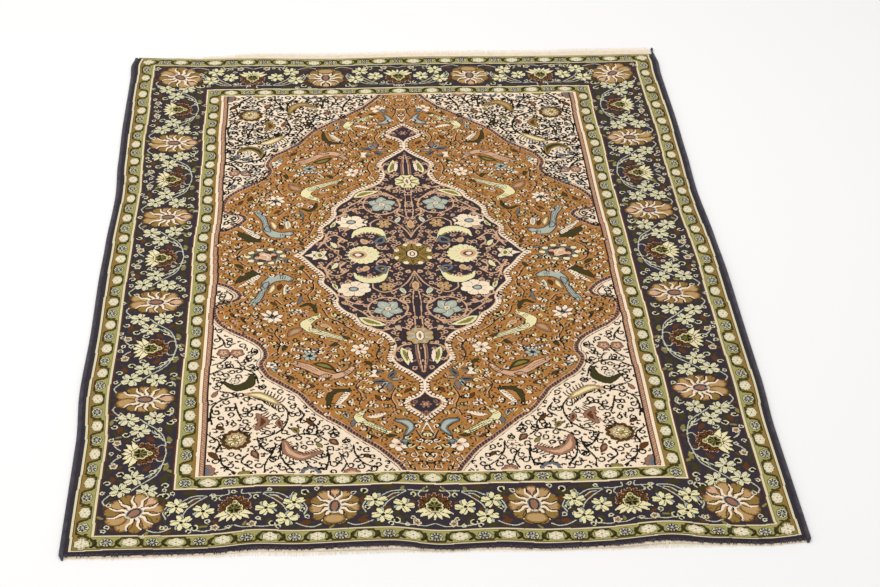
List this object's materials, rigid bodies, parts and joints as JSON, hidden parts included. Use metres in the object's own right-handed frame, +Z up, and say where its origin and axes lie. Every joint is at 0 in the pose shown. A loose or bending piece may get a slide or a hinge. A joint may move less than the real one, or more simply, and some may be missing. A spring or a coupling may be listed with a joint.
{
  "type": "persian rug",
  "caption": "Flat hand-knotted wool rug with a medallion field, overcast sides and short cotton warp fringe at both ends.",
  "frame": {"origin": "on the floor, under the centre of the rug's bounding box", "axes": "+X to the right along the rug's width, +Y from the near end to the far end along its length, +Z up"},
  "size_m": [1.4246, 2.0234, 0.012],
  "materials": {
    "pile": "matte knotted wool pile, patterned",
    "selvedge": "matte overcast wool yarn",
    "warp": "matte flat-woven undyed cotton with cut ends"
  },
  "bodies": {
    "root": {"knotted_pile": "pile", "selvedge_left": "selvedge", "selvedge_right": "selvedge", "selvedge_tail": "selvedge", "fringed_end_near": "warp", "fringed_end_far": "warp"}
  },
  "joints": []
}
